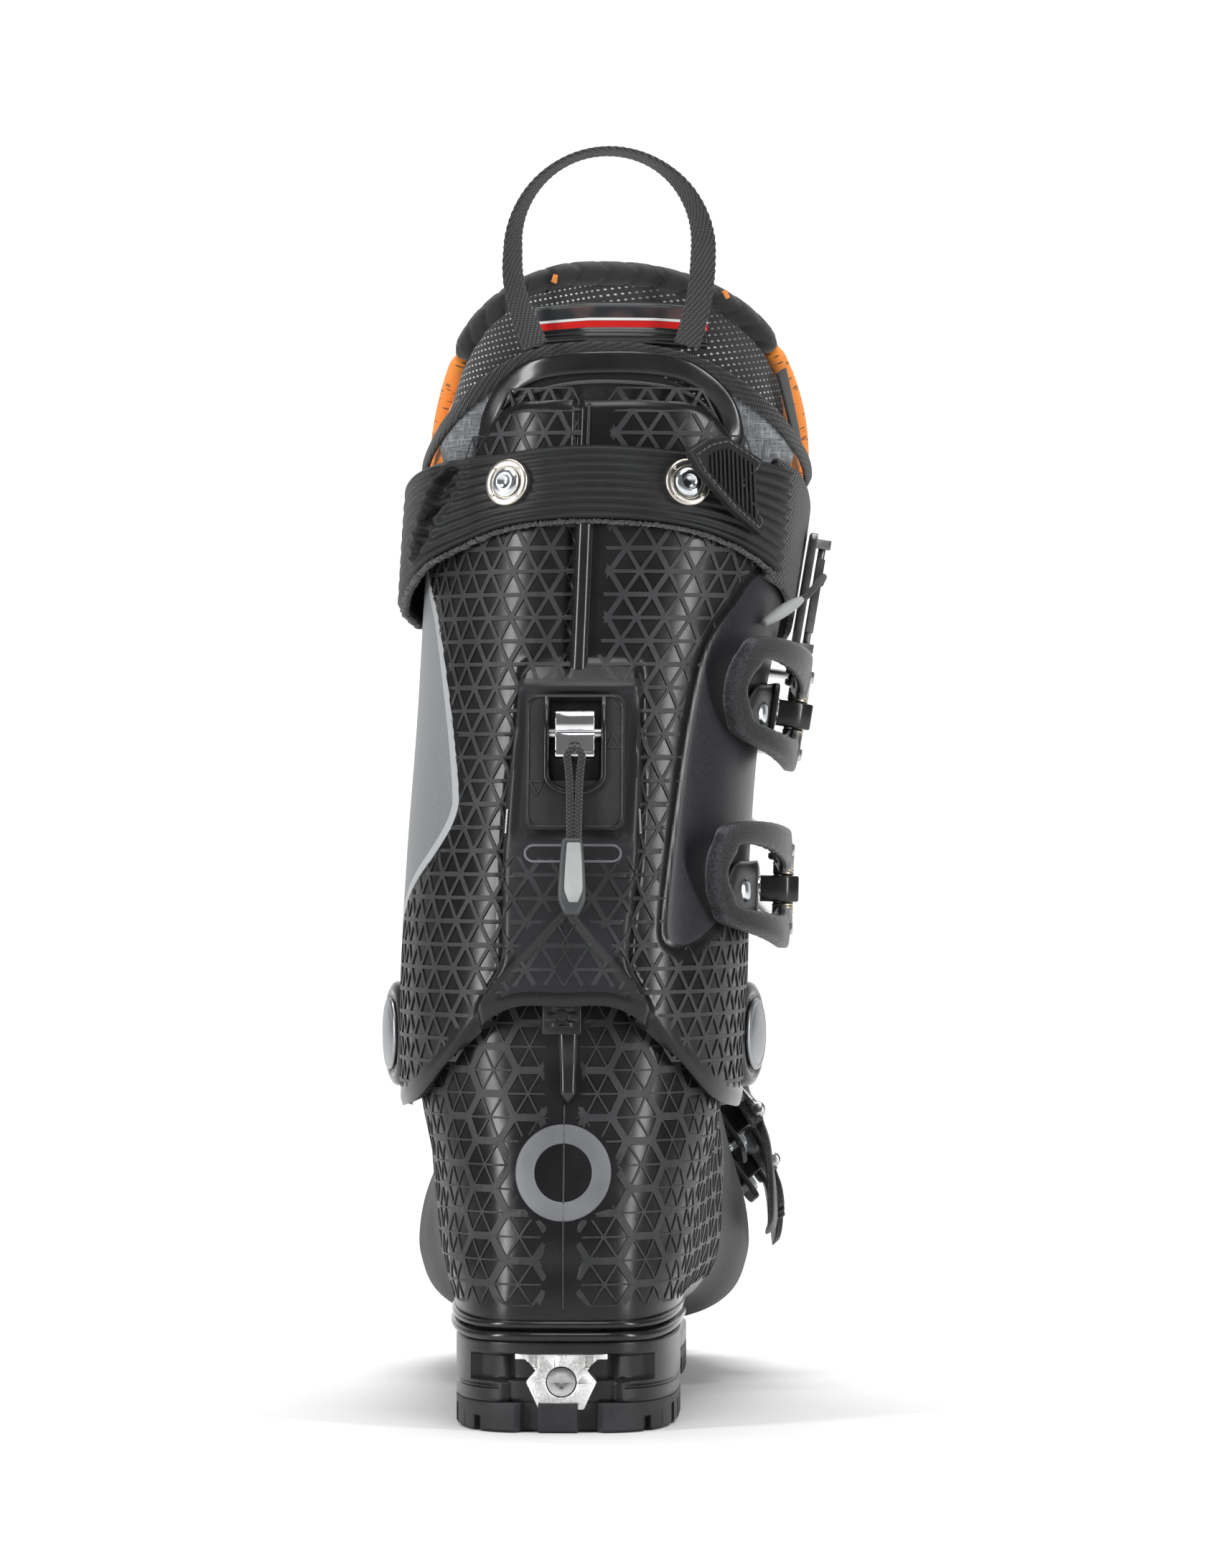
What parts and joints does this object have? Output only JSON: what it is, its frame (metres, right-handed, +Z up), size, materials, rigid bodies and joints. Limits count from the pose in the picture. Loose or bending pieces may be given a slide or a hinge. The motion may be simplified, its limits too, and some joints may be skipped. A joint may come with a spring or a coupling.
{
  "type": "alpine touring boot",
  "caption": "Right alpine touring boot with an overlap shell and cuff, walk lock, buckles, power strap, liner and pin-binding fittings.",
  "frame": {"origin": "on the ground on the sole's centre line, under the cuff's pivot axis, on the heel tread's lower face", "axes": "+Y to the toe, +Z up, +X to the outer (buckle) side of a right foot"},
  "size_m": [0.1407, 0.3113, 0.3999],
  "materials": {
    "shell_plastic": "satin moulded polyurethane with a triangle relief",
    "block_plastic": "glossy moulded plastic",
    "tread_rubber": "matte tread rubber",
    "board": "foam board",
    "liner_cloth": "padded woven liner",
    "trim": "ribbed binding tape",
    "loop_web": "woven tape",
    "reflector": "glossy strip with a red and a white line",
    "gloss_insert": "gloss black insert",
    "strap_rubber": "moulded ribbed rubber",
    "webbing": "coarse woven webbing",
    "cast_metal": "rough cast silver",
    "steel": "plated steel",
    "nickel": "warm nickel",
    "lever_metal": "rough cast dark grey",
    "buckle_black": "black",
    "chrome": "polished",
    "cord": "braided cord",
    "pull_rubber": "two-tone rubber",
    "cap_metal": "satin grey",
    "cam_metal": "grey metal"
  },
  "bodies": {
    "lower_shell": {"lower_shell": "shell_plastic", "boot_board": "board", "liner_foot": "liner_cloth", "heel_block": "block_plastic", "heel_tread": "tread_rubber", "toe_block": "block_plastic", "toe_tread": "tread_rubber", "sole_screws": "steel", "heel_fitting": "cast_metal", "heel_fitting_screw": "steel", "toe_inserts": "steel", "lock_bar": "steel", "lock_bar_rivets": "steel", "pivot_studs": "steel", "instep_base": "buckle_black", "instep_pin": "steel", "instep_ladder": "buckle_black", "toe_base": "buckle_black", "toe_pin": "steel", "toe_ladder": "buckle_black", "shell_rivets": "steel"},
    "cuff": {"cuff": "shell_plastic", "cuff_rivets": "steel", "walk_plate": "block_plastic", "walk_lever_pin": "steel", "pivot_caps": "cap_metal", "liner_cuff": "liner_cloth", "liner_tongue": "liner_cloth", "liner_binding": "trim", "pull_loop": "loop_web", "reflector_strip": "reflector", "spoiler_frame": "gloss_insert", "strap_rear": "strap_rubber", "strap_screws": "nickel", "strap_webbing": "webbing", "strap_tab": "strap_rubber", "cam_frame": "cam_metal", "upper_base": "buckle_black", "upper_pin": "steel", "upper_ladder": "buckle_black", "lower_base": "buckle_black", "lower_pin": "steel", "lower_ladder": "buckle_black"},
    "instep_lever": {"instep_lever": "lever_metal"},
    "instep_bail": {"instep_bail": "steel"},
    "toe_lever": {"toe_lever": "lever_metal"},
    "toe_bail": {"toe_bail": "steel"},
    "upper_lever": {"upper_lever": "lever_metal"},
    "upper_bail": {"upper_bail": "steel"},
    "lower_lever": {"lower_lever": "lever_metal"},
    "lower_bail": {"lower_bail": "steel"},
    "walk_lever": {"walk_lever": "chrome"},
    "walk_pull": {"pull_cord": "cord", "pull_tab": "pull_rubber"},
    "strap_cam": {"cam_lever": "cam_metal"},
    "latch": {"latch_bar": "steel"}
  },
  "joints": [
    {"name": "cuff_pivot", "type": "hinge", "parent": "lower_shell", "child": "cuff", "pos_m": [0, 0, 0.1195], "axis": [1, 0, 0], "range_deg": [-26, 20]},
    {"name": "upper_lever_hinge", "type": "hinge", "parent": "cuff", "child": "upper_lever", "pos_m": [0.0697, 0.02023, 0.222], "axis": [0.1562, 0.0167, 0.9876], "range_deg": [0, 130]},
    {"name": "upper_bail_hinge", "type": "hinge", "parent": "upper_lever", "child": "upper_bail", "pos_m": [0.07311, 0.01154, 0.22161], "axis": [0.1562, 0.0167, 0.9876], "range_deg": [-131, 1]},
    {"name": "lower_lever_hinge", "type": "hinge", "parent": "cuff", "child": "lower_lever", "pos_m": [0.06582, 0.00836, 0.166], "axis": [0.0269, 0.0008, 0.9996], "range_deg": [0, 130]},
    {"name": "lower_bail_hinge", "type": "hinge", "parent": "lower_lever", "child": "lower_bail", "pos_m": [0.06859, -0.00056, 0.16593], "axis": [0.0269, 0.0008, 0.9996], "range_deg": [-131, 1]},
    {"name": "instep_lever_hinge", "type": "hinge", "parent": "lower_shell", "child": "instep_lever", "pos_m": [0.05184, 0.09763, 0.09125], "axis": [-0.0373, -0.9112, 0.4103], "range_deg": [0, 130]},
    {"name": "instep_bail_hinge", "type": "hinge", "parent": "instep_lever", "child": "instep_bail", "pos_m": [0.05888, 0.09487, 0.08577], "axis": [-0.0373, -0.9112, 0.4103], "range_deg": [-131, 1]},
    {"name": "toe_lever_hinge", "type": "hinge", "parent": "lower_shell", "child": "toe_lever", "pos_m": [0.05379, 0.1325, 0.07547], "axis": [0.1409, -0.9713, 0.1919], "range_deg": [0, 130]},
    {"name": "toe_bail_hinge", "type": "hinge", "parent": "toe_lever", "child": "toe_bail", "pos_m": [0.06118, 0.13244, 0.06975], "axis": [0.1409, -0.9713, 0.1919], "range_deg": [-131, 1]},
    {"name": "walk_lever_hinge", "type": "hinge", "parent": "cuff", "child": "walk_lever", "pos_m": [0.00388, -0.07481, 0.21521], "axis": [-1, 0, 0], "range_deg": [0, 120]},
    {"name": "pull_cord_hinge", "type": "hinge", "parent": "walk_lever", "child": "walk_pull", "pos_m": [0.00388, -0.07774, 0.21008], "axis": [-1, 0, 0], "range_deg": [-121, 1]},
    {"name": "latch_slide", "type": "slide", "parent": "cuff", "child": "latch", "axis": [0, 0.1908, 0.9816], "range_m": [0, 0.0043]},
    {"name": "strap_cam_hinge", "type": "hinge", "parent": "cuff", "child": "strap_cam", "pos_m": [0.07738, 0.01924, 0.26026], "axis": [0.1672, 0.0096, 0.9859], "range_deg": [0, 70]}
  ],
  "couplings": [
    {"joint": "upper_bail_hinge", "follows": "upper_lever_hinge", "ratio": -1},
    {"joint": "lower_bail_hinge", "follows": "lower_lever_hinge", "ratio": -1},
    {"joint": "instep_bail_hinge", "follows": "instep_lever_hinge", "ratio": -1},
    {"joint": "toe_bail_hinge", "follows": "toe_lever_hinge", "ratio": -1},
    {"joint": "pull_cord_hinge", "follows": "walk_lever_hinge", "ratio": -1}
  ]
}
